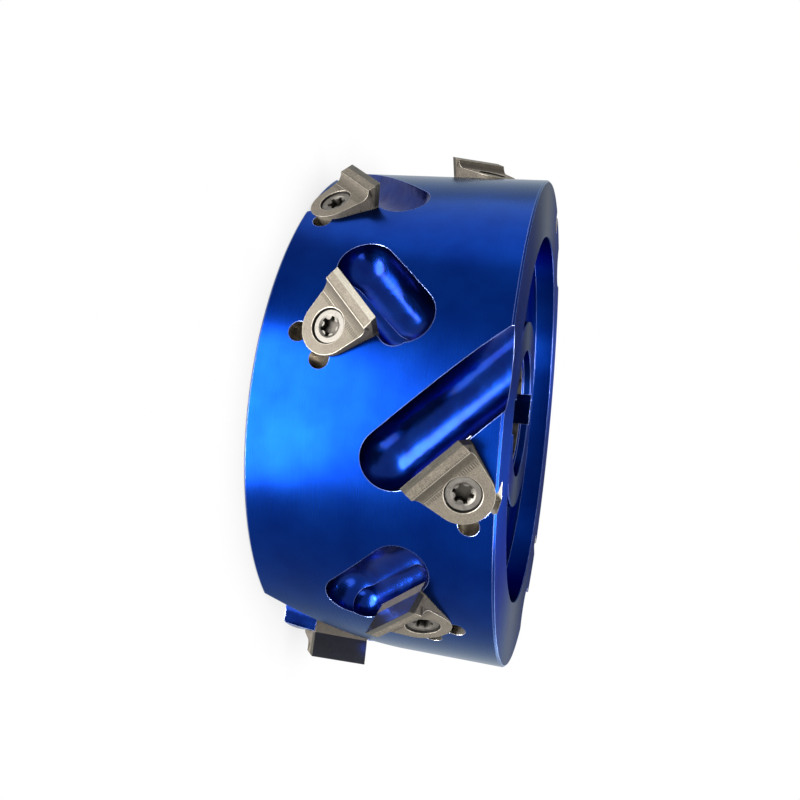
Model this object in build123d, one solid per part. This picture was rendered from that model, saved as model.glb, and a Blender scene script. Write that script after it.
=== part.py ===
from build123d import *
from math import asin, cos, degrees, radians, sin, tan
import os

os.makedirs("parts", exist_ok=True)

# Driving dimensions of the tool body
CUTTING_DIA = 125.0
TIP_STANDOUT = 5.0
BODY_WIDTH = 48.0
BORE_DIA = 30.0

# Turned end faces: rim, recess, raised hub and bore mouth
RIM_WIDTH = 13.3
RECESS_DEPTH = 5.4
HUB_WALL = 8.0
HUB_DEPTH = 3.1
MOUTH_STEP = 0.7
MOUTH_DEPTH = 1.9

# Double keyway of the bore
KEYWAY_WIDTH = 8.0
KEYWAY_DEPTH = 3.3
KEYWAY_ANGLE = 176.0

# Insert layout: three groups of four, two rows mirrored about mid-width
GROUPS = 3
OUTER_ROW = 5.8
INNER_ROW = 13.9
LEFT_OUTER_ANGLE = 43.4
LEFT_INNER_ANGLE = 11.9
RIGHT_OUTER_ANGLE = -14.85
RIGHT_INNER_ANGLE = -46.35

# Insert attitude: lean of the edge to the axis, rise towards the edge, dip of the leading end
EDGE_LEAN = 44.0
SEAT_RISE = 12.1
SEAT_DIP = 3.5
FLAT_DROP = 3.9

# Insert carrier, seen from above its flat: x along the edge, y towards the edge, z out of the flat
INSERT_THICK = 5.0
TAIL_RADIUS = 5.6
SIDE_TAPER = 11.6
EDGE_REACH = 8.6
SHOULDER_LENGTH = 3.6
LIP_HEIGHT = 1.75
LIP_LENGTH = 3.1
LIP_FALL = 0.1
COVE_LENGTH = 2.2
RAKE_ANGLE = 27.0

# Brazed tip
TIP_THICK = 1.1
TIP_HEIGHT = 5.0

# Countersunk insert screw, drawn as one with the carrier that it holds
HEAD_SINK = 0.35
CONE_HALF_ANGLE = 30.0
SINK_DIA = 6.95
SOCKET_POINTS = 6
SOCKET_DIA = 3.94
SOCKET_WAIST = 2.9
SOCKET_DEPTH = 1.7

# Insert pocket in the body
POCKET_TAPER = 13.0
POCKET_LENGTHENING = 1.6
EAR_DIA = 3.9
EAR_OFFSET = 0.64
EAR_ANGLE = 33.56

# Chip gullet: a deep trough with round ends ahead of each tip
GULLET_RADIUS = 5.85
GULLET_AHEAD = 3.9
GULLET_TAIL_END = -6.95
GULLET_LEAD_END = 6.45
GULLET_TANGENT = 5.5

# Cutting solids pass the surface that they cut by this much
OVERCUT = 1.0

BODY_RADIUS = CUTTING_DIA / 2 - TIP_STANDOUT
FLAT_RADIUS = CUTTING_DIA / 2 - FLAT_DROP
HALF_WIDTH = BODY_WIDTH / 2
SINK_RADIUS = SINK_DIA / 2
CONE_SLOPE = tan(radians(CONE_HALF_ANGLE))
HEAD_RADIUS = SINK_RADIUS - HEAD_SINK * CONE_SLOPE
LIP_BACK = EDGE_REACH - LIP_LENGTH
COVE_FOOT = LIP_BACK - COVE_LENGTH


def radial(angle):
    """Unit vector out of the axis. The photo's camera is at angle 0, on the -Y side."""
    return Vector(-sin(radians(angle)), -cos(radians(angle)), 0)


def forward(angle):
    """Unit vector round the body in the cutting direction."""
    return Vector(-cos(radians(angle)), sin(radians(angle)), 0)


def insert_positions():
    """Height of the screw, its angle, and the side whose end of the edge leads."""
    outer = HALF_WIDTH - OUTER_ROW
    inner = HALF_WIDTH - INNER_ROW
    group = [
        (-outer, LEFT_OUTER_ANGLE, -1),
        (-inner, LEFT_INNER_ANGLE, -1),
        (outer, RIGHT_OUTER_ANGLE, 1),
        (inner, RIGHT_INNER_ANGLE, 1),
    ]
    turns = [turn * 360 / GROUPS for turn in range(GROUPS)]
    return [(z, angle - turn, side) for turn in turns for z, angle, side in group]


def seat_plane(z, angle, side):
    """Plane of an insert's flat: origin on the screw axis, y towards the edge, z outwards."""
    lean, rise, dip = radians(EDGE_LEAN), radians(SEAT_RISE), radians(SEAT_DIP)
    axial = Vector(0, 0, side)
    lead = axial * cos(lean) + forward(angle) * sin(lean)
    ahead = forward(angle) * cos(lean) - axial * sin(lean)
    out = radial(angle) * cos(rise) - ahead * sin(rise)
    level = lead * cos(dip) - out * sin(dip)
    normal = out * cos(dip) + lead * sin(dip)
    return Plane(Vector(0, 0, z) + radial(angle) * FLAT_RADIUS, x_dir=level * side, z_dir=normal)


def trough_plane(z, angle, side, along, ahead):
    """Plane touching the drum beside an insert, moved along and ahead: x runs along its edge."""
    lean = radians(EDGE_LEAN)
    turned = angle + degrees((along * sin(lean) + ahead * cos(lean)) / BODY_RADIUS)
    height = z + side * (along * cos(lean) - ahead * sin(lean))
    run = Vector(0, 0, side) * cos(lean) + forward(turned) * sin(lean)
    return Plane(Vector(0, 0, height) + radial(turned) * BODY_RADIUS, x_dir=run, z_dir=radial(turned))


def insert_outline(taper, front):
    """Shield outline: a round tail with tangent sides that open to the head."""
    lean = radians(taper)
    side_x = TAIL_RADIUS * cos(lean)
    side_y = -TAIL_RADIUS * sin(lean)
    shoulder_y = EDGE_REACH - SHOULDER_LENGTH
    shoulder_x = side_x + (shoulder_y - side_y) * tan(lean)
    edges = [
        ThreePointArc((-side_x, side_y), (0, -TAIL_RADIUS), (side_x, side_y)),
        Line((side_x, side_y), (shoulder_x, shoulder_y)),
        Line((shoulder_x, shoulder_y), (shoulder_x, front)),
        Line((shoulder_x, front), (-shoulder_x, front)),
        Line((-shoulder_x, front), (-shoulder_x, shoulder_y)),
        Line((-shoulder_x, shoulder_y), (-side_x, side_y)),
    ]
    return make_face(edges)


def rake_point(drop, back=0.0):
    """Point of the side view that is drop below the edge along the rake face and back behind it."""
    lean = radians(RAKE_ANGLE)
    y = EDGE_REACH - drop * sin(lean) - back * cos(lean)
    z = LIP_HEIGHT - drop * cos(lean) + back * sin(lean)
    return y, z


def insert_side_view():
    """Side view of the insert: base, rake face, lip and the concave step down to the flat."""
    rise = LIP_HEIGHT - LIP_FALL
    cove_radius = (COVE_LENGTH * COVE_LENGTH + rise * rise) / (2 * rise)
    half_turn = asin(COVE_LENGTH / cove_radius) / 2
    cove_middle = (COVE_FOOT + cove_radius * sin(half_turn), cove_radius * (1 - cos(half_turn)))
    front_drop = (LIP_HEIGHT + INSERT_THICK) / cos(radians(RAKE_ANGLE))
    tail = -TAIL_RADIUS - OVERCUT
    edges = [
        Line((tail, -INSERT_THICK), rake_point(front_drop)),
        Line(rake_point(front_drop), rake_point(0)),
        Line(rake_point(0), (LIP_BACK, rise)),
        ThreePointArc((LIP_BACK, rise), cove_middle, (COVE_FOOT, 0)),
        Line((COVE_FOOT, 0), (tail, 0)),
        Line((tail, 0), (tail, -INSERT_THICK)),
    ]
    return Plane.YZ * make_face(edges)


def insert_blank():
    """Whole insert before its tip seat and its countersink are cut."""
    outline = insert_outline(SIDE_TAPER, EDGE_REACH + OVERCUT)
    prism = extrude(Plane.XY.offset(-INSERT_THICK) * outline, 2 * INSERT_THICK)
    return prism & extrude(insert_side_view(), 2 * TAIL_RADIUS, both=True)


def tip_bar():
    """Bar of the tip's section, longer than the insert is wide."""
    above = -2 * TIP_THICK
    section = Polyline(
        rake_point(above, -OVERCUT),
        rake_point(above, TIP_THICK),
        rake_point(TIP_HEIGHT, TIP_THICK),
        rake_point(TIP_HEIGHT, -OVERCUT),
        close=True,
    )
    return extrude(Plane.YZ * make_face(section), 2 * TAIL_RADIUS, both=True)


def countersink():
    """What the conical seat leaves open above the head of its screw."""
    top = SINK_RADIUS + OVERCUT * CONE_SLOPE
    up = (Align.CENTER, Align.CENTER, Align.MIN)
    return Pos(0, 0, -HEAD_SINK) * Cone(HEAD_RADIUS, top, HEAD_SINK + OVERCUT, align=up)


def socket():
    """Six-pointed driving recess of the screw."""
    points = []
    for corner in range(2 * SOCKET_POINTS):
        turn = radians(corner * 180 / SOCKET_POINTS)
        reach = (SOCKET_WAIST if corner % 2 else SOCKET_DIA) / 2
        points.append((reach * cos(turn), reach * sin(turn)))
    star = make_face(Polyline(*points, close=True))
    return extrude(Plane.XY.offset(-HEAD_SINK - SOCKET_DEPTH) * star, SOCKET_DEPTH + OVERCUT)


def carrier():
    """Sintered carrier with its screw: blank less the tip seat, the countersink and the socket."""
    return insert_blank() - tip_bar() - countersink() - socket()


def tip():
    """PCD tip brazed flush into the front of the carrier."""
    return insert_blank() & tip_bar()


def turned_blank():
    """Body as it leaves the lathe, with both end faces alike."""
    rim, bore = BODY_RADIUS, BORE_DIA / 2
    recess = rim - RIM_WIDTH
    hub = bore + HUB_WALL
    mouth = bore + MOUTH_STEP
    floor = HALF_WIDTH - RECESS_DEPTH
    hub_face = HALF_WIDTH - HUB_DEPTH
    upper = [
        (rim, HALF_WIDTH),
        (recess, HALF_WIDTH),
        (recess, floor),
        (hub, floor),
        (hub, hub_face),
        (mouth, hub_face),
        (mouth, hub_face - MOUTH_DEPTH),
        (bore, hub_face - MOUTH_DEPTH),
    ]
    lower = [(radius, -height) for radius, height in reversed(upper)]
    return revolve(Plane.XZ * make_face(Polyline(*upper, *lower, close=True)), Axis.Z)


def keyways():
    """Two opposite slots along the bore."""
    block = Box(KEYWAY_WIDTH, BORE_DIA + 2 * KEYWAY_DEPTH, BODY_WIDTH)
    return Rot(0, 0, -KEYWAY_ANGLE) * block


def trough(start, end):
    """Trough along x that ends in a ball nose, drawn by three crossed cylinders."""
    plan = SlotCenterToCenter(end - start, 2 * GULLET_RADIUS)
    bar = Rot(0, 90, 0) * Cylinder(GULLET_RADIUS, end - start + 2 * GULLET_RADIUS)
    from_above = extrude(plan, GULLET_RADIUS, both=True)
    from_beside = extrude(Plane.XZ * plan, GULLET_RADIUS, both=True)
    return Pos((start + end) / 2, 0, 0) * (bar & from_above & from_beside)


def gullet(z, angle, side):
    """Chip space ahead of an insert. The outer rows' gullets run out through the end face."""
    outer = abs(z) > HALF_WIDTH - INNER_ROW
    along = GULLET_TANGENT if outer else 0
    end = BODY_WIDTH if outer else GULLET_LEAD_END - along
    plane = trough_plane(z, angle, side, along, EDGE_REACH + GULLET_AHEAD)
    return plane * trough(GULLET_TAIL_END - along, end)


def pocket(plane):
    """Insert seat open to the gullet, with corner relief holes."""
    floor = Plane.XY.offset(-INSERT_THICK)
    height = 2 * INSERT_THICK
    up = (Align.CENTER, Align.CENTER, Align.MIN)
    cut = extrude(floor * insert_outline(POCKET_TAPER, EDGE_REACH + POCKET_LENGTHENING), height)
    for turn in (-EAR_ANGLE, EAR_ANGLE):
        ear = Pos(0, -TAIL_RADIUS - EAR_OFFSET, 0) * Cylinder(EAR_DIA / 2, height, align=up)
        cut += floor * Rot(0, 0, turn) * ear
    return plane * cut


def tool_body(places):
    """Turned blank with keyways, gullets and pockets."""
    body = turned_blank() - keyways()
    for z, angle, side in places:
        body -= gullet(z, angle, side)
        body -= pocket(seat_plane(z, angle, side))
    return body


def main():
    places = insert_positions()
    seats = [seat_plane(*place) for place in places]
    export_step(tool_body(places), "parts/tool_body.step")
    one_carrier, one_tip = carrier(), tip()
    for number, seat in enumerate(seats, start=1):
        export_step(seat * one_carrier, f"parts/insert_carrier_{number}.step")
        export_step(seat * one_tip, f"parts/pcd_tip_{number}.step")


main()
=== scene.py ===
from math import cos, pi, radians, sin, tan

import bpy
from mathutils import Matrix, Vector


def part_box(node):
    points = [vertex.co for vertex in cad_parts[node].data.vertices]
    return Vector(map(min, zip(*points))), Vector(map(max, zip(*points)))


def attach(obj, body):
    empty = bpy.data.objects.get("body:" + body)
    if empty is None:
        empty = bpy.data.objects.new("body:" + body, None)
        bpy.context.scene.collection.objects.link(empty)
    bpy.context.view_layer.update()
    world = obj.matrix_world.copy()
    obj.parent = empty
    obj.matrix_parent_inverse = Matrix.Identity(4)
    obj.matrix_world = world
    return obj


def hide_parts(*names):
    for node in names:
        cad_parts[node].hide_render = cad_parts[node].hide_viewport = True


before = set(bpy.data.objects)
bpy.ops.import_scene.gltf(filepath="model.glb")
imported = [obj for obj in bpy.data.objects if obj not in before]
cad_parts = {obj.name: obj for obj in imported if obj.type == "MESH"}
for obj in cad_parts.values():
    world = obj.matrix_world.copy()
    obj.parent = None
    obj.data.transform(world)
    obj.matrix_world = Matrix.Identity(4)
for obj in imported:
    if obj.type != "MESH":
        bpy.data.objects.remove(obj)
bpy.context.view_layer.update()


# Tool body
# One drum of aluminium alloy, turned on the lathe with a hub and a recess in each end face and
# anodised blue. Ball-nosed gullets are milled across it before the anodising, and the insert
# pockets afterwards, so the pockets show bare metal.

mm = 0.001
half_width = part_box("tool_body")[1].z
cutting_radius = 62.5 * mm
rim = cutting_radius - 5 * mm
bore = 15 * mm
recess = rim - 13.3 * mm
hub = bore + 8 * mm
recess_floor = half_width - 5.4 * mm
hub_face = half_width - 3.1 * mm
mouth = bore + 0.7 * mm
mouth_floor = hub_face - 1.9 * mm
edge_break = 0.4 * mm
small_break = 0.15 * mm
recess_fillet = 0.6 * mm
fillet_middle = 0.3 * recess_fillet
bore_chamfer = 0.4 * mm
body_steps = 720


def start_alone():
    """Leaves edit mode and deselects everything."""
    if bpy.context.object and bpy.context.object.mode == "EDIT":
        bpy.ops.object.mode_set(mode="OBJECT")
    bpy.ops.object.select_all(action="DESELECT")


def pick(piece):
    """Makes one piece the only selected and the active one."""
    start_alone()
    piece.select_set(True)
    bpy.context.view_layer.objects.active = piece


def named(name):
    """Names the primitive just added and puts its place into its mesh."""
    piece = bpy.context.object
    piece.name = piece.data.name = name
    bpy.ops.object.transform_apply(location=True, rotation=True, scale=True)
    return piece


def turned(name, corners, steps, hollow):
    """Turns a profile of (radius, height) corners about Z. A hollow one closes on its first corner."""
    start_alone()
    radius, height = corners[0]
    bpy.ops.mesh.primitive_circle_add(vertices=steps, radius=radius, location=(0, 0, height))
    piece = named(name)
    bpy.ops.object.mode_set(mode="EDIT")
    bpy.ops.mesh.select_all(action="SELECT")
    if not hollow:
        bpy.ops.mesh.edge_face_add()
        bpy.ops.mesh.select_mode(type="EDGE")
    for (r, z), (last_r, last_z) in zip(corners[1:], corners):
        bpy.ops.mesh.extrude_edges_move(TRANSFORM_OT_translate={"value": (0, 0, z - last_z)})
        bpy.ops.transform.resize(value=(r / last_r, r / last_r, 1), center_override=(0, 0, 0))
    if hollow:
        bpy.ops.mesh.select_mode(type="EDGE")
        bpy.ops.mesh.select_all(action="DESELECT")
        bpy.ops.mesh.select_non_manifold()
        bpy.ops.mesh.bridge_edge_loops()
    else:
        bpy.ops.mesh.edge_face_add()
    bpy.ops.mesh.select_all(action="SELECT")
    bpy.ops.mesh.normals_make_consistent(inside=False)
    bpy.ops.object.mode_set(mode="OBJECT")
    return piece


upper_profile = [
    (bore, mouth_floor - bore_chamfer),
    (bore + bore_chamfer, mouth_floor),
    (mouth, mouth_floor),
    (mouth, hub_face - small_break),
    (mouth + small_break, hub_face),
    (hub - small_break, hub_face),
    (hub, hub_face - small_break),
    (hub, recess_floor),
    (recess - recess_fillet, recess_floor),
    (recess - fillet_middle, recess_floor + fillet_middle),
    (recess, recess_floor + recess_fillet),
    (recess, half_width - small_break),
    (recess + small_break, half_width),
    (rim - edge_break, half_width),
    (rim, half_width - edge_break),
]
lower_profile = [(radius, -height) for radius, height in reversed(upper_profile)]
body = turned("tool_body_turned", upper_profile + lower_profile, body_steps, hollow=True)


def cut(piece, tool, placing=Matrix(), operation="DIFFERENCE"):
    """Cuts one placed solid out of another, or joins or intersects them."""
    tool.matrix_world = placing
    modifier = piece.modifiers.new("cut", "BOOLEAN")
    modifier.operation = operation
    modifier.object = tool
    modifier.solver = "MANIFOLD"
    modifier.material_mode = "TRANSFER"
    pick(piece)
    bpy.ops.object.modifier_apply(modifier="cut")


def discard(*pieces):
    """Removes the cutting solids that have done their work."""
    for piece in pieces:
        bpy.data.objects.remove(piece)


def select_faces(piece, wanted):
    """Opens a piece in edit mode with just the wanted faces selected."""
    pick(piece)
    bpy.ops.object.mode_set(mode="EDIT")
    bpy.ops.mesh.select_mode(type="FACE")
    bpy.ops.mesh.select_all(action="DESELECT")
    bpy.ops.object.mode_set(mode="OBJECT")
    for face in piece.data.polygons:
        face.select = wanted(face)
    bpy.ops.object.mode_set(mode="EDIT")


def block(name, size, middle=(0, 0, 0), rotation=(0, 0, 0)):
    """Adds a block with the given size along each axis."""
    start_alone()
    bpy.ops.mesh.primitive_cube_add(size=1, scale=size, location=middle, rotation=rotation)
    return named(name)


# Two keyways, opposite each other, from one block through the bore
keyway_width = 8 * mm
keyway_depth = 3.3 * mm
keyway_angle = radians(176)
keyway_cutter = block(
    "keyway_cutter",
    (keyway_width, 2 * (bore + keyway_depth), 3 * half_width),
    rotation=(0, 0, -keyway_angle),
)


# Where the inserts sit: three groups of four, in two rows mirrored about mid-width
groups = 3
outer_row = half_width - 5.8 * mm
inner_row = half_width - 13.9 * mm
group_places = [
    (-outer_row, 43.4, -1),
    (-inner_row, 11.9, -1),
    (outer_row, -14.85, 1),
    (inner_row, -46.35, 1),
]
insert_places = [
    (height, radians(angle - turn * 360 / groups), side)
    for turn in range(groups)
    for height, angle, side in group_places
]
edge_lean = radians(44)
seat_rise = radians(12.1)
seat_dip = radians(3.5)
flat_radius = cutting_radius - 3.9 * mm


def radial(angle):
    """Unit vector out of the axis. Angle 0 faces the photo's camera."""
    return Vector((-sin(angle), -cos(angle), 0))


def forward(angle):
    """Unit vector round the body in the cutting direction."""
    return Vector((-cos(angle), sin(angle), 0))


def placing(origin, x_axis, z_axis):
    """Matrix that puts a piece at an origin with its x and z axes as given."""
    y_axis = z_axis.cross(x_axis)
    turn = Matrix((x_axis, y_axis, z_axis)).transposed().to_4x4()
    return Matrix.Translation(origin) @ turn


def seat(height, angle, side):
    """Place of an insert's flat: origin on the screw axis, y towards the edge, z outwards."""
    axial = Vector((0, 0, side))
    lead = axial * cos(edge_lean) + forward(angle) * sin(edge_lean)
    ahead = forward(angle) * cos(edge_lean) - axial * sin(edge_lean)
    out = radial(angle) * cos(seat_rise) - ahead * sin(seat_rise)
    level = lead * cos(seat_dip) - out * sin(seat_dip)
    normal = out * cos(seat_dip) + lead * sin(seat_dip)
    return placing(Vector((0, 0, height)) + radial(angle) * flat_radius, level * side, normal)


def trough(height, angle, side, along, ahead):
    """Place on the drum beside an insert, moved along and ahead: x runs along its edge."""
    turned_to = angle + (along * sin(edge_lean) + ahead * cos(edge_lean)) / rim
    level = height + side * (along * cos(edge_lean) - ahead * sin(edge_lean))
    run = Vector((0, 0, side)) * cos(edge_lean) + forward(turned_to) * sin(edge_lean)
    return placing(Vector((0, 0, level)) + radial(turned_to) * rim, run, radial(turned_to))


seats = [seat(*place) for place in insert_places]


def ball_nosed_cutter(name, radius, start, end, steps):
    """Path of a ball-nosed mill along x: a sphere split and drawn out."""
    start_alone()
    bpy.ops.mesh.primitive_uv_sphere_add(
        segments=steps, ring_count=steps // 2, radius=radius, rotation=(0, pi / 2, 0)
    )
    cutter = named(name)
    select_faces(cutter, lambda face: face.center.x > 0)
    bpy.ops.mesh.split()
    bpy.ops.transform.translate(value=(end - start, 0, 0))
    bpy.ops.mesh.select_mode(type="EDGE")
    bpy.ops.mesh.select_all(action="DESELECT")
    bpy.ops.mesh.select_non_manifold()
    bpy.ops.mesh.bridge_edge_loops()
    bpy.ops.mesh.select_all(action="SELECT")
    bpy.ops.transform.translate(value=(start, 0, 0))
    bpy.ops.mesh.normals_make_consistent(inside=False)
    bpy.ops.object.mode_set(mode="OBJECT")
    return cutter


# Insert plan, shared by the pocket and the carrier that sits in it
insert_thick = 5 * mm
tail_radius = 5.6 * mm
edge_reach = 8.6 * mm
shoulder_y = edge_reach - 3.6 * mm
tail_steps = 120


def shield_prism(name, taper, front, bottom, top):
    """Prism with a round tail and tangent sides that open to the head."""
    start_alone()
    bpy.ops.mesh.primitive_circle_add(vertices=tail_steps, radius=tail_radius, location=(0, 0, bottom))
    prism = named(name)
    side_y = -tail_radius * sin(taper)
    shoulder_x = tail_radius * cos(taper) + (shoulder_y - side_y) * tan(taper)
    bpy.ops.object.mode_set(mode="EDIT")
    bpy.ops.mesh.select_mode(type="VERT")
    bpy.ops.mesh.select_all(action="DESELECT")
    bpy.ops.object.mode_set(mode="OBJECT")
    for vertex in prism.data.vertices:
        vertex.select = vertex.co.y > side_y
    bpy.ops.object.mode_set(mode="EDIT")
    bpy.ops.mesh.delete(type="VERT")
    for side in (-1, 1):
        bpy.ops.object.mode_set(mode="OBJECT")
        end = max(prism.data.vertices, key=lambda vertex: side * vertex.co.x)
        end_x, end_y = end.co.x, end.co.y
        end.select = True
        bpy.ops.object.mode_set(mode="EDIT")
        for x, y in ((side * shoulder_x, shoulder_y), (side * shoulder_x, front)):
            step = (x - end_x, y - end_y, 0)
            bpy.ops.mesh.extrude_vertices_move(TRANSFORM_OT_translate={"value": step})
            end_x, end_y = x, y
        bpy.ops.mesh.select_all(action="DESELECT")
    bpy.ops.mesh.select_all(action="SELECT")
    bpy.ops.mesh.edge_face_add()
    bpy.ops.mesh.extrude_region_move(TRANSFORM_OT_translate={"value": (0, 0, top - bottom)})
    bpy.ops.mesh.select_all(action="SELECT")
    bpy.ops.mesh.normals_make_consistent(inside=False)
    bpy.ops.object.mode_set(mode="OBJECT")
    return prism


gullet_radius = 5.85 * mm
gullet_ahead = edge_reach + 3.9 * mm
gullet_tail_end = -6.95 * mm
gullet_lead_end = 6.45 * mm
gullet_tangent = 5.5 * mm
gullet_steps = 112
closed_gullet = ball_nosed_cutter(
    "closed_gullet", gullet_radius, gullet_tail_end, gullet_lead_end, gullet_steps
)
open_gullet = ball_nosed_cutter(
    "open_gullet", gullet_radius, gullet_tail_end - gullet_tangent, half_width, gullet_steps
)

undercut_radius = 3.45 * mm
undercut_ahead = edge_reach + 0.7 * mm
undercut_depth = 1.5 * mm
undercut_tail_end = -8.3 * mm
undercut_lead_end = 5.5 * mm
undercut_steps = 64
undercut = ball_nosed_cutter(
    "undercut", undercut_radius, undercut_tail_end, undercut_lead_end, undercut_steps
)


def rod(name, radius, length, steps, middle=(0, 0, 0), rotation=(0, 0, 0)):
    """Adds a round rod along z, or turned as given."""
    start_alone()
    bpy.ops.mesh.primitive_cylinder_add(
        vertices=steps, radius=radius, depth=length, location=middle, rotation=rotation
    )
    return named(name)


# Pocket for an insert, with an ear milled out at each corner and the tapped hole
pocket_taper = radians(13)
pocket_lengthening = 1.6 * mm
ear_radius = 1.95 * mm
ear_reach = tail_radius + 0.64 * mm
ear_angle = radians(33.56)
ear_steps = 72
tap_radius = 2.5 * mm
tap_depth = 12.4 * mm
tap_steps = 48
pocket_cutter = shield_prism(
    "pocket_cutter", pocket_taper, edge_reach + pocket_lengthening, -insert_thick, insert_thick
)
for turn in (-ear_angle, ear_angle):
    ear_middle = (ear_reach * sin(turn), -ear_reach * cos(turn), 0)
    ear_cutter = rod("ear_cutter", ear_radius, 2 * insert_thick, ear_steps, ear_middle)
    cut(pocket_cutter, ear_cutter, operation="UNION")
    discard(ear_cutter)
tap_cutter = rod("tap_cutter", tap_radius, tap_depth, tap_steps, (0, 0, -tap_depth / 2))
cut(pocket_cutter, tap_cutter, operation="UNION")
discard(tap_cutter)


def give(tree, node, inputs):
    """Sets a node's inputs, by name or number, to values or to other nodes' outputs."""
    for name, value in inputs.items():
        numbered = name.startswith("input")
        socket = node.inputs[int(name[-1]) if numbered else name.replace("_", " ")]
        if isinstance(value, bpy.types.NodeSocket):
            tree.links.new(value, socket)
        else:
            socket.default_value = value


def add(tree, kind, settings=None, output=0, **inputs):
    """Adds a node and hands back one of its outputs."""
    node = tree.nodes.new("ShaderNode" + kind)
    for key, value in (settings or {}).items():
        setattr(node, key, value)
    give(tree, node, inputs)
    return node.outputs[output]


def metal(name):
    """New finish of solid metal, with its node tree."""
    finish = bpy.data.materials.new(name)
    finish.use_nodes = True
    finish.node_tree.nodes["Principled BSDF"].inputs["Metallic"].default_value = 1
    return finish, finish.node_tree


def surface(tree, **inputs):
    """Sets the colour, gloss and relief of a finish."""
    give(tree, tree.nodes["Principled BSDF"], inputs)


def grain(tree, where, size, detail=2):
    """Noise with grains of one size all round, or of the given size along each axis."""
    lengths = size if isinstance(size, tuple) else (size, size, size)
    closer = add(tree, "Mapping", Vector=where, Scale=[1 / length for length in lengths])
    return add(tree, "TexNoise", Vector=closer, Scale=1, Detail=detail)


def between(tree, value, low, high, at_low=0, at_high=1):
    """Runs from one number to another while the value runs from low to high."""
    return add(
        tree, "MapRange", Value=value, From_Min=low, From_Max=high, To_Min=at_low, To_Max=at_high
    )


noise_low = 0.3
noise_high = 0.7


def varied(tree, noise, at_low=0, at_high=1):
    """Runs from one number to another over the usual range of a noise."""
    return between(tree, noise, noise_low, noise_high, at_low, at_high)


def mixed(tree, share, first, second):
    """Colour between the first and the second."""
    return add(tree, "Mix", {"data_type": "RGBA"}, 2, Factor=share, input6=first, input7=second)


def relief(tree, height, depth, normal=None):
    """Surface relief of the given depth, over another normal where one is given."""
    under = {"Normal": normal} if normal else {}
    return add(tree, "Bump", Height=height, Distance=depth, Strength=1, **under)


edge_roll = 0.16 * mm
roll_start = 0.995
roll_full = 0.93


def broken_edge(tree):
    """Normal rolled over at the edges, and a mask that is 1 on the roll."""
    rolled = add(tree, "Bevel", {"samples": 6}, Radius=edge_roll)
    flat = add(tree, "NewGeometry", output="Normal")
    facing = add(tree, "VectorMath", {"operation": "DOT_PRODUCT"}, "Value", input0=rolled, input1=flat)
    return rolled, between(tree, facing, roll_start, roll_full)


def coordinate(tree, place, axis):
    """One coordinate of a place."""
    return add(tree, "SeparateXYZ", output=axis, Vector=place)


def off_axis(tree, place):
    """Distance of a place from its z axis."""
    level = add(tree, "VectorMath", {"operation": "MULTIPLY"}, input0=place, input1=(1, 1, 0))
    return add(tree, "VectorMath", {"operation": "LENGTH"}, "Value", input0=level)


def round_the_axis(tree, place):
    """Distance from the axis, height and place across: what is thin along the first two runs round."""
    distance = off_axis(tree, place)
    height = coordinate(tree, place, "Z")
    across = coordinate(tree, place, "X")
    return add(tree, "CombineXYZ", X=distance, Y=height, Z=across)


# Blue anodising on turned metal: fine marks run round and throw the light out along the axis
deep_blue = (0.0008, 0.013, 0.125, 1)
clear_blue = (0.0014, 0.021, 0.17, 1)
# Lighter blue on the rolled edges: partly worn anodising, partly a painted highlight along the rims
edge_wear_and_highlight_blue = (0.24, 0.32, 0.68, 1)
mark_size = (0.22 * mm, 0.22 * mm, 30 * mm)
mark_depth = 0.0001 * mm
wave_size = (1.3 * mm, 1.3 * mm, 26 * mm)
wave_depth = 0.002 * mm
cloud_size = 9 * mm
mark_share = 0.1
mark_gloss = 0.006
cylinder_tint = (0.66, 0.76, 0.78, 1)
face_tint = (0.25, 0.3, 0.3, 1)


def turned_blue(name, roughness, spread, tint):
    """Anodised lathe finish: its roughness, spread of light across its marks and tint at a slant."""
    finish, tree = metal(name)
    place = add(tree, "TexCoord", output="Object")
    marks = grain(tree, round_the_axis(tree, place), mark_size)
    waves = grain(tree, place, wave_size, 3)
    clouds = grain(tree, place, cloud_size, 3)
    rolled, edges = broken_edge(tree)
    dyed = mixed(tree, varied(tree, clouds), deep_blue, clear_blue)
    streaked = mixed(tree, between(tree, marks, 0.45, 0.75, 0, mark_share), dyed, deep_blue)
    # The edges take the lighter blue: partly worn anodising, partly a painted rim highlight
    surface(
        tree,
        Base_Color=mixed(tree, edges, streaked, edge_wear_and_highlight_blue),
        Roughness=varied(tree, marks, roughness - mark_gloss, roughness + mark_gloss),
        Specular_Tint=tint,
        Anisotropic=spread,
        Anisotropic_Rotation=0.25,
        Tangent=add(tree, "Tangent", {"direction_type": "RADIAL", "axis": "Z"}),
        Normal=relief(tree, marks, mark_depth, relief(tree, waves, wave_depth, rolled)),
    )
    return finish


turned_anodised = turned_blue("turned_anodised", roughness=0.27, spread=0.5, tint=cylinder_tint)
faced_anodised = turned_blue("faced_anodised", roughness=0.38, spread=0.8, tint=face_tint)


# Blue anodising in the gullets: bright from the ball-nosed mill, with its fine feed marks
gullet_blue = (0.001, 0.011, 0.12, 1)
gullet_clear_blue = (0.0018, 0.02, 0.16, 1)
feed = 0.35 * mm
feed_depth = 0.006 * mm
chatter_size = 4 * mm
chatter_depth = 0.15 * mm


def stored_place(tree, name):
    """Reads a place that is kept with the piece's vertices."""
    return add(tree, "Attribute", {"attribute_name": name}, "Vector")


def rows_of(tree, place, pitch, distortion, detail):
    """Waves along x at a pitch. At scale 1 the texture has 10 / pi waves to the metre."""
    return add(
        tree,
        "TexWave",
        {"bands_direction": "X"},
        Vector=place,
        Scale=pi / (10 * pitch),
        Distortion=distortion,
        Detail=detail,
    )


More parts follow.
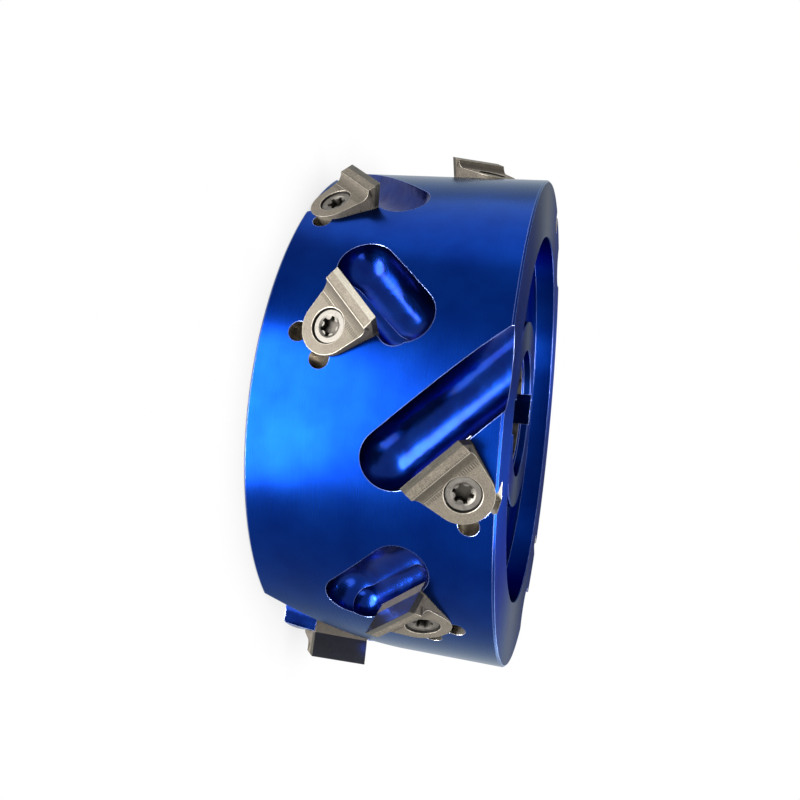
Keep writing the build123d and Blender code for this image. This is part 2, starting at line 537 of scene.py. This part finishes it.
milled_anodised, tree = metal("milled_anodised")
place = stored_place(tree, "gullet_place")
feed_marks = rows_of(tree, place, feed, distortion=0.6, detail=2)
chatter = grain(tree, place, chatter_size)
rolled, edges = broken_edge(tree)
dyed = mixed(tree, varied(tree, chatter), gullet_blue, gullet_clear_blue)
# The edges take the lighter blue: partly worn anodising, partly a painted rim highlight
surface(
    tree,
    Base_Color=mixed(tree, edges, dyed, edge_wear_and_highlight_blue),
    Roughness=varied(tree, chatter, 0.2, 0.26),
    Coat_Weight=0.08,
    Coat_Roughness=0.12,
    Normal=relief(tree, feed_marks, feed_depth, relief(tree, chatter, chatter_depth, rolled)),
)


# Bare aluminium where the pockets and the bore are cut after the anodising
scratch_size = (2.5 * mm, 2.5 * mm, 0.09 * mm)
scratch_depth = 0.002 * mm
mottle_size = 3 * mm
worn_edge = (0.55, 0.53, 0.5, 1)
# The bore's greys are darker than the pockets': painted shade down in the bore
shaded_bore_grey = (0.1, 0.095, 0.085, 1)
shaded_bore_light = (0.2, 0.19, 0.175, 1)
pocket_grey = (0.26, 0.24, 0.21, 1)
pocket_light = (0.5, 0.465, 0.41, 1)


def bare_metal(name, dull_metal, clean_metal):
    """Cut aluminium, mottled between two greys and scratched."""
    finish, tree = metal(name)
    place = add(tree, "TexCoord", output="Object")
    mottle = grain(tree, place, mottle_size)
    scratches = grain(tree, place, scratch_size)
    rolled, edges = broken_edge(tree)
    toned = mixed(tree, varied(tree, mottle), dull_metal, clean_metal)
    scratched = mixed(tree, between(tree, scratches, 0.5, 0.8, 0, 0.5), toned, dull_metal)
    surface(
        tree,
        Base_Color=mixed(tree, edges, scratched, worn_edge),
        Roughness=varied(tree, mottle, 0.22, 0.36),
        Normal=relief(tree, scratches, scratch_depth, rolled),
    )
    return finish


bore_aluminium = bare_metal("bore_aluminium", shaded_bore_grey, shaded_bore_light)
pocket_aluminium = bare_metal("pocket_aluminium", pocket_grey, pocket_light)


def coat(piece, finish):
    """Gives a whole piece one finish."""
    piece.data.materials.clear()
    piece.data.materials.append(finish)
    for face in piece.data.polygons:
        face.material_index = 0


# Bare in the bore, faced blue on the end faces and in the recesses, turned blue round the outside
bore_margin = 0.1 * mm
coat(body, turned_anodised)
body.data.materials.append(faced_anodised)
body.data.materials.append(bore_aluminium)
for face in body.data.polygons:
    from_axis = face.center.xy.length
    if from_axis < bore + bore_margin:
        face.material_index = 2
    elif from_axis < rim - edge_break:
        face.material_index = 1
for cutter in (closed_gullet, open_gullet, undercut, keyway_cutter):
    coat(cutter, milled_anodised)
coat(pocket_cutter, pocket_aluminium)

cut(body, keyway_cutter)
for place in insert_places:
    outer = abs(place[0]) > inner_row
    along = gullet_tangent if outer else 0
    cut(body, open_gullet if outer else closed_gullet, trough(*place, along, gullet_ahead))
    if not outer:
        raised = trough(*place, 0, undercut_ahead)
        cut(body, undercut, raised @ Matrix.Translation((0, 0, -undercut_depth)))
    cut(body, pocket_cutter, seat(*place))
discard(keyway_cutter, closed_gullet, open_gullet, undercut, pocket_cutter)


def store_places(piece, name, places):
    """Keeps a place for each vertex, for marks that follow a cut or a seat."""
    stored = piece.data.attributes.new(name, "FLOAT_VECTOR", "POINT")
    stored.data.foreach_set("vector", [part for place in places for part in place])


def nearest_gullet(point):
    """Place of a point along, across and above the nearest gullet."""
    return min((to_gullet @ point for to_gullet in gullet_frames), key=lambda place: place.length)


gullet_frames = [trough(*place, 0, gullet_ahead).inverted() for place in insert_places]
store_places(body, "gullet_place", [nearest_gullet(vertex.co) for vertex in body.data.vertices])

smooth_angle = radians(30)
pick(body)
bpy.ops.object.shade_smooth_by_angle(angle=smooth_angle)
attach(body, "root")
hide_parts("tool_body")


# Insert carriers
# Twelve sintered metal bodies, shield-shaped in plan, with a raised lip along the front, a concave
# step down to the flat and a countersunk hole. Each sits in its pocket under one screw.

side_taper = radians(11.6)
lip_height = 1.75 * mm
lip_back = edge_reach - 3.1 * mm
lip_rise = lip_height - 0.1 * mm
cove_length = 2.2 * mm
cove_foot = lip_back - cove_length
cove_radius = (cove_length ** 2 + lip_rise ** 2) / (2 * lip_rise)
cove_steps = 96
spare = 1 * mm
same_point = 0.001 * mm
rake_angle = radians(27)
edge_point = Vector((0, edge_reach, lip_height))
rake_outward = Vector((0, cos(rake_angle), -sin(rake_angle)))
lip_outward = Vector((0, lip_rise - lip_height, edge_reach - lip_back))


def sliced(piece, point, outward):
    """Cuts off what lies beyond a plane and closes the cut."""
    pick(piece)
    bpy.ops.object.mode_set(mode="EDIT")
    bpy.ops.mesh.select_all(action="SELECT")
    bpy.ops.mesh.bisect(
        plane_co=point, plane_no=outward.normalized(), use_fill=True, clear_outer=True, threshold=same_point
    )
    bpy.ops.object.mode_set(mode="OBJECT")


blank = shield_prism("insert_blank", side_taper, edge_reach + spare, -insert_thick, 2 * lip_height)
sliced(blank, edge_point, rake_outward)
sliced(blank, edge_point, lip_outward)
past_sides = 4 * tail_radius
cove_cutter = rod(
    "cove_cutter", cove_radius, past_sides, cove_steps, (0, cove_foot, cove_radius), (0, pi / 2, 0)
)
flat_cutter = block(
    "flat_cutter",
    (past_sides, 2 * tail_radius, 2 * lip_height),
    (0, cove_foot - tail_radius, lip_height),
)
cut(blank, cove_cutter)
cut(blank, flat_cutter)
discard(cove_cutter, flat_cutter)

screw_radius = 2.5 * mm
hole_radius = screw_radius + 0.2 * mm
sink_radius = 6.95 * mm / 2
cone_slope = tan(radians(30))
sink_steps = 96
sink_cutter = turned(
    "sink_cutter",
    [
        (sink_radius + spare * cone_slope, spare),
        (hole_radius, -(sink_radius - hole_radius) / cone_slope),
        (hole_radius, -2 * insert_thick),
    ],
    sink_steps,
    hollow=False,
)
cut(blank, sink_cutter)
discard(sink_cutter)

# Sintered metal: warm grey and finely grained, with small pits and rows of cutter ticks by the cove
carrier_grey = (0.07, 0.061, 0.049, 1)
carrier_light = (0.175, 0.155, 0.126, 1)
# This grey colours the pits and ticks, and is also the painted shade in the cove
pit_and_shade_grey = (0.03, 0.026, 0.021, 1)
# Painted shade for the carrier's countersink round the screw head
sink_painted_shade = (0.012, 0.011, 0.01, 1)
grain_size = 0.26 * mm
grain_depth = 0.012 * mm
pit_size = 0.55 * mm
patch_size = 2.5 * mm
tick_pitch = 0.46 * mm
tick_row = 0.9 * mm
tick_share = 0.85
cove_shade_share = 0.5
cove_middle = (cove_foot + lip_back) / 2
cove_reach = (lip_back - cove_foot) / 2
flat_start = -0.2 * mm
flat_full = -0.05 * mm
sink_shade_edge = sink_radius + 0.1 * mm
sink_shade_start = -0.04 * mm
sink_shade_full = -0.12 * mm
mask_fade = 0.05 * mm


def worked(tree, operation, first, second=0):
    """One step of arithmetic on node outputs or numbers."""
    return add(tree, "Math", {"operation": operation}, input0=first, input1=second)


def row(tree, place, middle, full, end, strength=1):
    """Mask of a row across the piece: how strong, and how far it reaches in full and fading."""
    off_row = worked(tree, "SUBTRACT", coordinate(tree, place, "Y"), middle)
    return between(tree, worked(tree, "ABSOLUTE", off_row), full, end, strength, 0)


def sunk(tree, place, radius, start, full):
    """Mask of what lies inside a radius round the screw and below a height, full at a second one."""
    inside = between(tree, off_axis(tree, place), radius - mask_fade, radius, 1, 0)
    return worked(tree, "MULTIPLY", inside, between(tree, coordinate(tree, place, "Z"), start, full))


sintered_carrier, tree = metal("sintered_carrier")
place = stored_place(tree, "seat_place")
grains = grain(tree, place, grain_size, 3)
pits = between(tree, grain(tree, place, pit_size, 3), 0.33, 0.26)
patches = grain(tree, place, patch_size, 3)
ticks = rows_of(tree, place, tick_pitch, distortion=0.3, detail=1)
above_flat = between(tree, coordinate(tree, place, "Z"), flat_start, flat_full)
foot_row = row(tree, place, cove_foot - 0.4 * tick_row, tick_row / 2, 0.6 * tick_row)
lip_row = row(tree, place, lip_back + 0.2 * tick_row, tick_row / 4, tick_row / 3)
both_rows = add(tree, "Math", {"operation": "ADD", "use_clamp": True}, input0=foot_row, input1=lip_row)
in_rows = worked(tree, "MULTIPLY", both_rows, between(tree, ticks, 0.55, 0.8))
ticked = worked(tree, "MULTIPLY", worked(tree, "MULTIPLY", in_rows, above_flat), tick_share)
# Painted shade: the cove under the lip is darkened towards the pit grey
cove_painted_shade = row(tree, place, cove_middle, cove_reach / 2, cove_reach, cove_shade_share)
cove_shade_mask = worked(tree, "MULTIPLY", cove_painted_shade, above_flat)
pressed = mixed(tree, varied(tree, grains), carrier_grey, carrier_light)
patched = mixed(tree, between(tree, patches, 0.35, 0.7, 0, 0.3), pressed, carrier_grey)
pitted = mixed(tree, pits, patched, pit_and_shade_grey)
# Painted shade laid into the cove
toned = mixed(tree, cove_shade_mask, pitted, pit_and_shade_grey)
scored = mixed(tree, ticked, toned, pit_and_shade_grey)
# Painted shade: the countersink is darkened almost to black below the flat
in_sink = sunk(tree, place, sink_shade_edge, sink_shade_start, sink_shade_full)
surface(
    tree,
    Base_Color=mixed(tree, in_sink, scored, sink_painted_shade),
    Roughness=varied(tree, grains, 0.66, 0.8),
    Normal=relief(tree, grains, grain_depth),
)

# The same metal rubbed lighter on its rounded edges
rubbed_light = (0.28, 0.255, 0.215, 1)
nick_size = 0.4 * mm
nick_depth = 0.004 * mm
rubbed_edge, tree = metal("rubbed_edge")
place = stored_place(tree, "seat_place")
nicks = grain(tree, place, nick_size, 3)
surface(
    tree,
    Base_Color=mixed(tree, between(tree, nicks, 0.35, 0.6), carrier_light, rubbed_light),
    Roughness=varied(tree, nicks, 0.42, 0.56),
    Normal=relief(tree, nicks, nick_depth),
)
coat(blank, sintered_carrier)
blank.data.materials.append(rubbed_edge)

# All sharp edges are rounded but those of the front face, which keeps its cutting edge
edge_round = 0.1 * mm
sharp_angle = radians(25)
on_face = 0.01 * mm
pick(blank)
bpy.ops.object.mode_set(mode="EDIT")
bpy.ops.mesh.select_mode(type="EDGE")
bpy.ops.mesh.select_all(action="DESELECT")
bpy.ops.mesh.edges_select_sharp(sharpness=sharp_angle)
bpy.ops.object.mode_set(mode="OBJECT")
for edge in blank.data.edges:
    ends = [blank.data.vertices[index].co for index in edge.vertices]
    if all(abs((end - edge_point).dot(rake_outward)) < on_face for end in ends):
        edge.select = False
bpy.ops.object.mode_set(mode="EDIT")
bpy.ops.mesh.bevel(offset=edge_round, segments=2, clamp_overlap=False, material=1)
bpy.ops.object.mode_set(mode="OBJECT")


def shade(piece):
    """Shades curved faces smooth and keeps flat faces flat up to their rounded edges."""
    pick(piece)
    bpy.ops.object.shade_smooth_by_angle(angle=smooth_angle)
    piece.modifiers.new("flat_faces", "WEIGHTED_NORMAL").keep_sharp = True
    bpy.ops.object.modifier_apply(modifier="flat_faces")


def duplicate(pattern, name):
    """Copy of a pattern with a mesh of its own."""
    pick(pattern)
    bpy.ops.object.duplicate()
    copy = bpy.context.object
    copy.name = copy.data.name = name
    return copy


def place_copies(pattern, name, node_name=None):
    """Sets a copy of the pattern in each of the twelve seats and removes the pattern."""
    for number, place in enumerate(seats, start=1):
        copy = duplicate(pattern, f"{name}_{number}")
        copy.matrix_world = place
        bpy.ops.object.transform_apply(location=True, rotation=True, scale=True)
        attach(copy, "root")
        if node_name:
            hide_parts(f"{node_name}_{number}")
    discard(pattern)


# The bar that the tip and its notch in the carrier share
tip_thick = 1.1 * mm
tip_height = 5 * mm
tip_above = 2.2 * mm
tip_bar = block(
    "tip_bar",
    (past_sides, tip_thick + spare, tip_height + tip_above),
    (0, (spare - tip_thick) / 2, (tip_above - tip_height) / 2),
)
coat(tip_bar, sintered_carrier)
at_edge = Matrix.Translation(edge_point) @ Matrix.Rotation(-rake_angle, 4, "X")
carrier = duplicate(blank, "carrier_pattern")
cut(carrier, tip_bar, at_edge)
store_places(carrier, "seat_place", [vertex.co for vertex in carrier.data.vertices])
shade(carrier)
place_copies(carrier, "carrier", "insert_carrier")


# Cutting tips
# Twelve plates of polycrystalline diamond on a hard-metal base, ground flush with the carrier and
# brazed into its front.

tip = duplicate(blank, "tip_pattern")
cut(tip, tip_bar, at_edge, operation="INTERSECT")
discard(tip_bar, blank)

# Ground hard metal on top and at the sides
ground_grey = (0.05, 0.046, 0.038, 1)
ground_light = (0.09, 0.084, 0.07, 1)
speck_light = (0.2, 0.19, 0.17, 1)
speck_size = 0.12 * mm
grinding_size = (3 * mm, 0.05 * mm, 0.05 * mm)
grinding_depth = 0.002 * mm
ground_tip, tree = metal("ground_tip")
place = stored_place(tree, "seat_place")
grinding = grain(tree, place, grinding_size)
specks = grain(tree, place, speck_size, 3)
ground = mixed(tree, varied(tree, grinding), ground_grey, ground_light)
surface(
    tree,
    Base_Color=mixed(tree, between(tree, specks, 0.6, 0.75), ground, speck_light),
    Roughness=varied(tree, grinding, 0.36, 0.5),
    Normal=relief(tree, grinding, grinding_depth),
)

# Black diamond on the cutting face
diamond_black = (0.006, 0.006, 0.007, 1)
diamond_grey = (0.02, 0.02, 0.022, 1)
diamond_size = 0.08 * mm
diamond_depth = 0.001 * mm
faces_front = 0.99
diamond_face, tree = metal("diamond_face")
place = stored_place(tree, "seat_place")
diamonds = grain(tree, place, diamond_size, 3)
surface(
    tree,
    Base_Color=mixed(tree, between(tree, diamonds, 0.4, 0.75), diamond_black, diamond_grey),
    Metallic=0.0,
    Roughness=varied(tree, diamonds, 0.16, 0.26),
    Normal=relief(tree, diamonds, diamond_depth),
)
coat(tip, ground_tip)
tip.data.materials.append(diamond_face)
for face in tip.data.polygons:
    if face.normal.dot(rake_outward) > faces_front:
        face.material_index = 1
store_places(tip, "seat_place", [vertex.co for vertex in tip.data.vertices])
shade(tip)
place_copies(tip, "tip", "pcd_tip")


# Insert screws
# Twelve countersunk steel screws with a six-lobe recess, turned into the body through the carriers.

head_sink = 0.45 * mm
head_radius = sink_radius - head_sink * cone_slope
screw_length = 11 * mm
point_break = 0.4 * mm
head_edge = 0.1 * mm
head_break = 0.18 * mm
screw_steps = 96
screw = turned(
    "screw_pattern",
    [
        (screw_radius - point_break, -head_sink - screw_length),
        (screw_radius, -head_sink - screw_length + point_break),
        (screw_radius, -head_sink - (head_radius - screw_radius) / cone_slope),
        (head_radius, -head_sink - head_edge),
        (head_radius - head_break, -head_sink),
    ],
    screw_steps,
    hollow=False,
)

# Six-lobe socket: a round bar with six valleys, and a cone that opens its mouth
lobes = 6
lobe_reach = 1.97 * mm
lobe_steps = 72
valley_radius = 0.64 * mm
valley_place = 2.03 * mm
valley_steps = 32
socket_depth = 1.7 * mm
entry_radius = 2.25 * mm
entry_depth = 0.3 * mm
lobe_cutter = rod("lobe_cutter", lobe_reach, 2 * socket_depth, lobe_steps, (0, 0, -head_sink))
for valley in range(lobes):
    turn = 2 * pi * valley / lobes
    valley_middle = (valley_place * sin(turn), valley_place * cos(turn), -head_sink)
    valley_tool = rod("valley_tool", valley_radius, 3 * socket_depth, valley_steps, valley_middle)
    cut(lobe_cutter, valley_tool)
    discard(valley_tool)
entry_cutter = turned(
    "entry_cutter",
    [
        (entry_radius + spare / cone_slope, spare - head_sink),
        (entry_radius - entry_depth / cone_slope, -head_sink - entry_depth),
    ],
    screw_steps,
    hollow=False,
)
cut(screw, lobe_cutter)
cut(screw, entry_cutter)
discard(lobe_cutter, entry_cutter)

# Steel, turned in rings on the head, with painted shade darkening it down in the socket
steel_grey = (0.08, 0.074, 0.066, 1)
steel_light = (0.135, 0.126, 0.112, 1)
ring_grey = (0.1, 0.092, 0.082, 1)
socket_painted_shade = (0.045, 0.041, 0.036, 1)
smear_size = 0.8 * mm
ring_size = 0.14 * mm
ring_depth = 0.003 * mm
socket_shade_edge = lobe_reach + 0.1 * mm
socket_shade_start = -head_sink - 0.05 * mm
socket_shade_full = -head_sink - 1.3 * mm
turned_steel, tree = metal("turned_steel")
place = stored_place(tree, "seat_place")
smears = grain(tree, place, smear_size, 3)
rings = grain(tree, add(tree, "CombineXYZ", X=off_axis(tree, place)), ring_size)
steel = mixed(tree, varied(tree, smears), steel_grey, steel_light)
ringed = mixed(tree, between(tree, rings, 0.4, 0.7, 0, 0.4), steel, ring_grey)
# Painted shade: darker the deeper down the socket
in_socket = sunk(tree, place, socket_shade_edge, socket_shade_start, socket_shade_full)
surface(
    tree,
    Base_Color=mixed(tree, in_socket, ringed, socket_painted_shade),
    Roughness=varied(tree, smears, 0.48, 0.6),
    Normal=relief(tree, rings, ring_depth),
)
coat(screw, turned_steel)
store_places(screw, "seat_place", [vertex.co for vertex in screw.data.vertices])
shade(screw)
place_copies(screw, "screw")


# Studio
# A pale floor under the lower end face, white all round, a broad soft lamp before the drum and
# five weaker ones above, beside, behind and below it.

floor_radius = 2.5
floor_steps = 96
shadow_reach = 20 * mm
shadow_white = 0.7
white = (1, 1, 1, 1)
start_alone()
bpy.ops.mesh.primitive_circle_add(
    vertices=floor_steps, radius=floor_radius, fill_type="NGON", location=(0, 0, -half_width)
)
floor = named("floor")
pale_floor = bpy.data.materials.new("pale_floor")
pale_floor.use_nodes = True
tree = pale_floor.node_tree
open_sky = add(tree, "AmbientOcclusion", {"samples": 8}, "AO", Distance=shadow_reach)
shadowed = between(tree, open_sky, 0, 0.75, shadow_white, 1)
tree.nodes.remove(tree.nodes["Principled BSDF"])
glow = add(tree, "Emission", Color=white, Strength=shadowed)
tree.links.new(glow, tree.nodes["Material Output"].inputs["Surface"])
coat(floor, pale_floor)
floor.visible_glossy = floor.visible_shadow = floor.visible_diffuse = False

# The room is white to the eye and in reflections, and lights the drum more weakly
room_light = 0.6
world = bpy.data.worlds.new("white_room")
world.use_nodes = True
bpy.context.scene.world = world
tree = world.node_tree
seen = add(tree, "LightPath", output="Is Camera Ray")
for kind in ("Is Glossy Ray", "Is Transmission Ray"):
    seen = worked(tree, "MAXIMUM", seen, add(tree, "LightPath", output=kind))
strength = between(tree, seen, 0, 1, room_light, 1)
give(tree, tree.nodes["Background"], {"Color": white, "Strength": strength})


def lamp(name, place, aim, width, height, power):
    """Oval soft lamp turned to a point."""
    start_alone()
    bpy.ops.object.light_add(type="AREA", location=place)
    light = bpy.context.object
    light.name = name
    light.data.shape = "ELLIPSE"
    light.data.size = width
    light.data.size_y = height
    light.data.energy = power
    light.rotation_euler = (Vector(aim) - Vector(place)).to_track_quat("-Z", "Y").to_euler()


# Each lamp has its place, the point that it faces, its size in metres and its power in watts
drum_middle = (0, 0, 0)
lamp("front_lamp", (0.065, -0.445, -0.325), (0, -0.055, -0.01), width=0.65, height=0.38, power=14.4)
lamp("top_lamp", (0.18, -0.02, 0.58), (0.012, -0.056, 0.024), width=0.1, height=0.36, power=6)
lamp("side_lamp", (-0.5, -0.03, -0.05), drum_middle, width=0.4, height=0.4, power=0.6)
lamp("back_lamp", (0.3, 0.45, 0.3), drum_middle, width=0.4, height=0.3, power=1.5)
lamp("low_lamp", (0.2, -0.3, -0.36), (0, -0.05, 0), width=0.12, height=0.12, power=2.2)
lamp("right_lamp", (0.3, -0.25, 0.2), (0, -0.055, 0.01), width=0.22, height=0.22, power=0.6)

# Camera fitted to the photo: the pixel straight ahead of it, and its focal length in pixels
photo_width = 800
photo_ahead_x = 448.1
photo_ahead_y = 316.5
focal_pixels = 703.79
film_width = 36
camera_place = (0, -178.3 * mm, 40.2 * mm)
view_axes = Matrix((
    (-0.1071, -0.9865, 0.1240),
    (0.2100, -0.1444, -0.9670),
    (0.9718, -0.0775, 0.2227),
))
start_alone()
bpy.ops.object.camera_add()
camera = bpy.context.object
camera.matrix_world = Matrix.Translation(camera_place) @ view_axes.to_4x4()
camera.data.sensor_width = film_width
camera.data.lens = film_width * focal_pixels / photo_width
camera.data.shift_x = (photo_width / 2 - photo_ahead_x) / photo_width
camera.data.shift_y = (photo_ahead_y - photo_width / 2) / photo_width
camera.data.clip_start = 10 * mm
bpy.context.scene.camera = camera
bpy.context.scene.view_settings.view_transform = "Standard"
